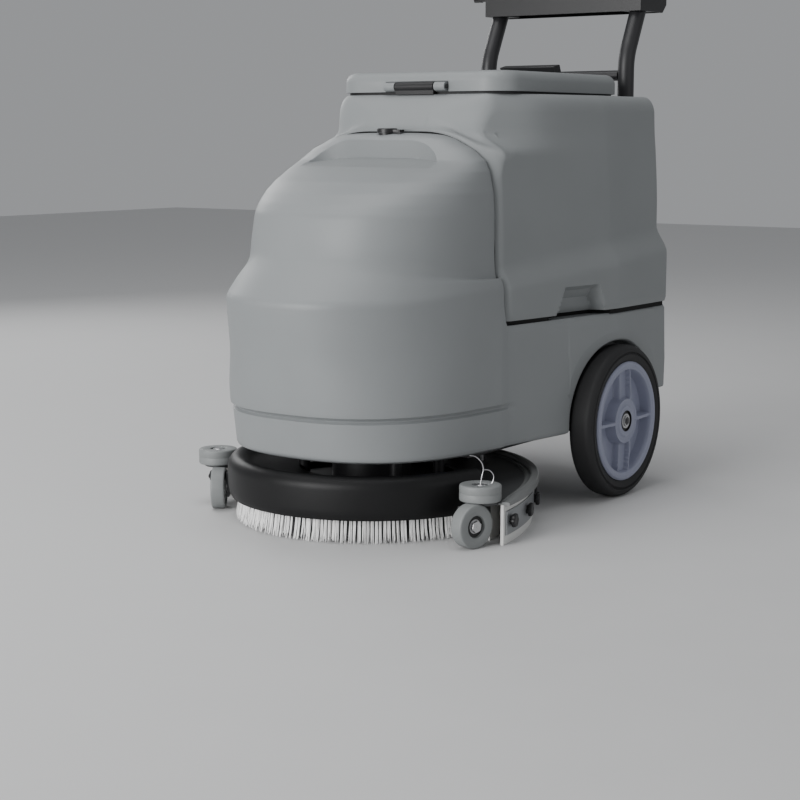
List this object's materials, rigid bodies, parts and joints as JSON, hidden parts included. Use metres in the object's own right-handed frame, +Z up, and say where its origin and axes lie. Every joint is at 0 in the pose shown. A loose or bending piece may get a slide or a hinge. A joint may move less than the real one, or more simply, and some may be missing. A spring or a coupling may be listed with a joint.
{
  "type": "walk-behind floor scrubber",
  "caption": "Walk-behind wet and dry floor scrubber with a disc brush, a lifting squeegee, rear wheels and a lift-off recovery tank.",
  "frame": {"origin": "on the floor, at the middle of the machine's bounding box", "axes": "+Z up, +Y towards the operator's handle, -Y the nose, +X the machine's side seen in the source image"},
  "size_m": [0.592, 0.9519, 0.922],
  "materials": {
    "grey_shell": "fine matte",
    "grey_tank": "fine matte",
    "roller_grey": "matte",
    "hub_grey": "satin",
    "black_plastic": "satin",
    "black_gloss": "gloss",
    "dark_painted": "satin powder coat",
    "plate_grey": "satin",
    "steel": "satin",
    "strip_grey": "satin",
    "bristle_white": "matte",
    "blade_white": "matte",
    "tyre_black": "matte",
    "rubber_black": "matte",
    "battery_black": "matte",
    "alloy": "satin",
    "valve_blue": "satin",
    "clear_plastic": "gloss",
    "display_glass": "gloss",
    "red_plastic": "gloss",
    "green_plastic": "gloss",
    "blue_plastic": "gloss"
  },
  "bodies": {
    "chassis": {"body_shell": "grey_shell", "filler_neck": "black_plastic", "chassis_frame": "dark_painted", "stub_axles": "steel", "batteries": "battery_black", "vacuum_motor": "black_plastic", "controller": "alloy", "water_valve": "valve_blue", "water_filter": "clear_plastic", "deck_plate": "dark_painted", "deck_hood": "black_gloss", "brush_motor": "dark_painted", "axle_nuts": "steel", "suction_pipe": "black_plastic", "handle_uprights": "dark_painted", "console": "black_plastic", "display": "display_glass", "panel_trim": "black_gloss"},
    "filler_lid": {"filler_cap": "black_plastic"},
    "brush": {"drive_shaft": "steel", "brush_block": "black_plastic", "bristles": "bristle_white"},
    "wheel_left": {"tyre_left": "tyre_black", "hub_left": "hub_grey", "bearing_left": "steel"},
    "wheel_right": {"tyre_right": "tyre_black", "hub_right": "hub_grey", "bearing_right": "steel"},
    "squeegee": {"squeegee_plate": "plate_grey", "rear_blade": "blade_white", "front_blade": "blade_white", "clamp_strip": "strip_grey", "clamp_knobs": "black_plastic", "suction_spigot": "black_plastic", "suction_hose": "rubber_black", "plate_hardware": "steel", "wheel_brackets": "plate_grey"},
    "roller_left": {"bumper_roller_left": "roller_grey"},
    "roller_right": {"bumper_roller_right": "roller_grey"},
    "support_left": {"support_wheel_left": "roller_grey"},
    "support_right": {"support_wheel_right": "roller_grey"},
    "tank": {"recovery_tank": "grey_tank", "tank_pipes": "black_plastic", "intake_filter": "clear_plastic", "lid_gasket": "rubber_black", "lid_hinge": "black_plastic"},
    "lid": {"tank_lid": "grey_tank", "lid_handle": "black_plastic"},
    "key": {"ignition_key": "steel"},
    "stop": {"stop_button": "red_plastic"},
    "brush_rocker": {"brush_switch": "green_plastic"},
    "vacuum_rocker": {"vacuum_switch": "blue_plastic"},
    "water_dial": {"water_knob": "black_gloss"},
    "bar": {"handlebar": "dark_painted", "grips": "rubber_black"},
    "bail": {"bail_lever": "black_plastic"},
    "knob_left": {"tilt_knob_left": "black_plastic"},
    "knob_right": {"tilt_knob_right": "black_plastic"},
    "lever": {"squeegee_lever": "red_plastic"}
  },
  "joints": [
    {"name": "filler_cap_hinge", "type": "hinge", "parent": "chassis", "child": "filler_lid", "pos_m": [0.0285, -0.19, 0.5922], "axis": [0, 1, 0], "range_deg": [0, 100]},
    {"name": "brush_spin", "type": "hinge", "parent": "chassis", "child": "brush", "pos_m": [0, -0.233, 0.04], "axis": [0, 0, 1], "continuous": true},
    {"name": "wheel_left_spin", "type": "hinge", "parent": "chassis", "child": "wheel_left", "pos_m": [-0.24, 0.118, 0.125], "axis": [1, 0, 0], "continuous": true},
    {"name": "wheel_right_spin", "type": "hinge", "parent": "chassis", "child": "wheel_right", "pos_m": [0.24, 0.118, 0.125], "axis": [1, 0, 0], "continuous": true},
    {"name": "squeegee_lift", "type": "slide", "parent": "chassis", "child": "squeegee", "axis": [0, 0, 1], "range_m": [0, 0.025], "deforming": ["suction_hose"]},
    {"name": "roller_left_spin", "type": "hinge", "parent": "squeegee", "child": "roller_left", "pos_m": [-0.252, -0.309, 0.077], "axis": [0, 0, 1], "continuous": true},
    {"name": "roller_right_spin", "type": "hinge", "parent": "squeegee", "child": "roller_right", "pos_m": [0.252, -0.309, 0.077], "axis": [0, 0, 1], "continuous": true},
    {"name": "support_left_spin", "type": "hinge", "parent": "squeegee", "child": "support_left", "pos_m": [-0.2226, -0.3412, 0.0325], "axis": [-0.8141, -0.5807, 0], "continuous": true},
    {"name": "support_right_spin", "type": "hinge", "parent": "squeegee", "child": "support_right", "pos_m": [0.2555, -0.337, 0.0325], "axis": [0.9703, -0.2419, 0], "continuous": true},
    {"name": "tank_lift_off", "type": "slide", "parent": "chassis", "child": "tank", "axis": [0, 0, 1], "range_m": [0, 0.4]},
    {"name": "lid_hinge_turn", "type": "hinge", "parent": "tank", "child": "lid", "pos_m": [0, -0.114, 0.664], "axis": [1, 0, 0], "range_deg": [0, 95]},
    {"name": "key_turn", "type": "hinge", "parent": "chassis", "child": "key", "pos_m": [-0.07, 0.399, 0.866], "axis": [0, 0.7071, 0.7071], "range_deg": [0, 90]},
    {"name": "stop_press", "type": "slide", "parent": "chassis", "child": "stop", "axis": [0, -0.7071, -0.7071], "range_m": [0, 0.005], "stiffness_N_per_m": 800},
    {"name": "brush_rocker_tip", "type": "hinge", "parent": "chassis", "child": "brush_rocker", "pos_m": [0.066, 0.40169, 0.86869], "axis": [1, 0, 0], "range_deg": [-5, 5]},
    {"name": "vacuum_rocker_tip", "type": "hinge", "parent": "chassis", "child": "vacuum_rocker", "pos_m": [0.096, 0.40169, 0.86869], "axis": [1, 0, 0], "range_deg": [-5, 5]},
    {"name": "water_dial_turn", "type": "hinge", "parent": "chassis", "child": "water_dial", "pos_m": [0.13, 0.399, 0.866], "axis": [0, 0.7071, 0.7071], "range_deg": [0, 270]},
    {"name": "bar_tilt", "type": "hinge", "parent": "chassis", "child": "bar", "pos_m": [0, 0.379, 0.85], "axis": [1, 0, 0], "range_deg": [-10, 30]},
    {"name": "bail_squeeze", "type": "hinge", "parent": "bar", "child": "bail", "pos_m": [0, 0.435, 0.872], "axis": [1, 0, 0], "range_deg": [0, 30], "stiffness_Nm_per_rad": 1.2, "springref_deg": -17.19},
    {"name": "knob_left_turn", "type": "hinge", "parent": "chassis", "child": "knob_left", "pos_m": [-0.17, 0.379, 0.85], "axis": [-1, 0, 0], "continuous": true},
    {"name": "knob_right_turn", "type": "hinge", "parent": "chassis", "child": "knob_right", "pos_m": [0.17, 0.379, 0.85], "axis": [1, 0, 0], "continuous": true},
    {"name": "lever_turn", "type": "hinge", "parent": "chassis", "child": "lever", "pos_m": [-0.166, 0.318, 0.56], "axis": [-1, 0, 0], "range_deg": [0, 60]}
  ],
  "couplings": [
    {"joint": "lever_turn", "follows": "squeegee_lift", "rad_per_m": 41.5}
  ]
}
